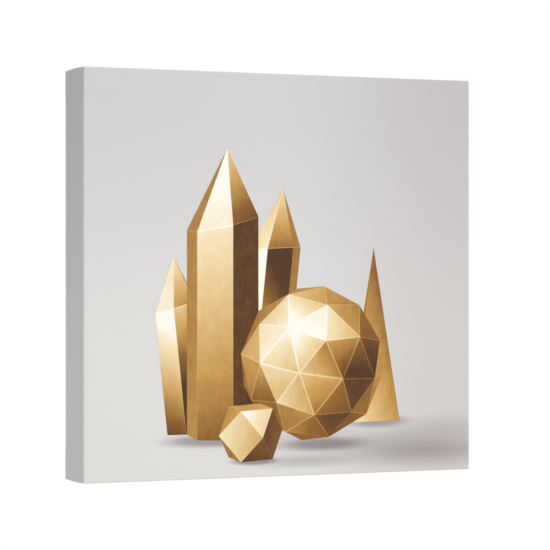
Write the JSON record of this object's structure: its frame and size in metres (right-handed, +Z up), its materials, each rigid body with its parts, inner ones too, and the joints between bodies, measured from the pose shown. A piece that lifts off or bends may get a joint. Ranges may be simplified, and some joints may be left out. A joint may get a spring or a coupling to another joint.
{
  "type": "stretched canvas print",
  "caption": "Gallery-wrapped canvas print on a deep keyed pine stretcher frame, with stapled hems, folded corners, a sawtooth hanger and rubber wall bumpers.",
  "frame": {"origin": "hanging point: the top of the hanger's middle notch, in the plane of the wall", "axes": "+X to the right seen from the front, +Y into the wall, +Z up; the picture faces -Y"},
  "size_m": [0.31, 0.0489, 0.3015],
  "materials": {
    "printed_canvas": "cotton canvas, printed in pale warm grey and gold, satin-matt, with a fine plain weave",
    "pine": "planed, unsealed softwood",
    "beech": "sawn, unsealed hardwood",
    "staple_wire": "galvanised flat wire",
    "zinc_steel": "zinc-plated sheet and nails",
    "bumper_rubber": "matt"
  },
  "bodies": {
    "root": {"bar_bottom": "pine", "bar_left": "pine", "bar_right": "pine", "bar_top": "pine", "bumper_left": "bumper_rubber", "bumper_right": "bumper_rubber", "canvas": "printed_canvas", "hanger": "zinc_steel", "hanger_nail_left": "zinc_steel", "hanger_nail_right": "zinc_steel", "key_bottom_bar_left": "beech", "key_bottom_bar_right": "beech", "key_left_bar_bottom": "beech", "key_left_bar_top": "beech", "key_right_bar_bottom": "beech", "key_right_bar_top": "beech", "key_top_bar_left": "beech", "key_top_bar_right": "beech", "staple_bottom_1": "staple_wire", "staple_bottom_2": "staple_wire", "staple_bottom_3": "staple_wire", "staple_bottom_4": "staple_wire", "staple_bottom_5": "staple_wire", "staple_bottom_6": "staple_wire", "staple_bottom_7": "staple_wire", "staple_bottom_8": "staple_wire", "staple_bottom_9": "staple_wire", "staple_left_1": "staple_wire", "staple_left_2": "staple_wire", "staple_left_3": "staple_wire", "staple_left_4": "staple_wire", "staple_left_5": "staple_wire", "staple_right_1": "staple_wire", "staple_right_2": "staple_wire", "staple_right_3": "staple_wire", "staple_right_4": "staple_wire", "staple_right_5": "staple_wire", "staple_top_1": "staple_wire", "staple_top_2": "staple_wire", "staple_top_3": "staple_wire", "staple_top_4": "staple_wire", "staple_top_5": "staple_wire", "staple_top_6": "staple_wire", "staple_top_7": "staple_wire", "staple_top_8": "staple_wire", "staple_top_9": "staple_wire"}
  },
  "joints": []
}
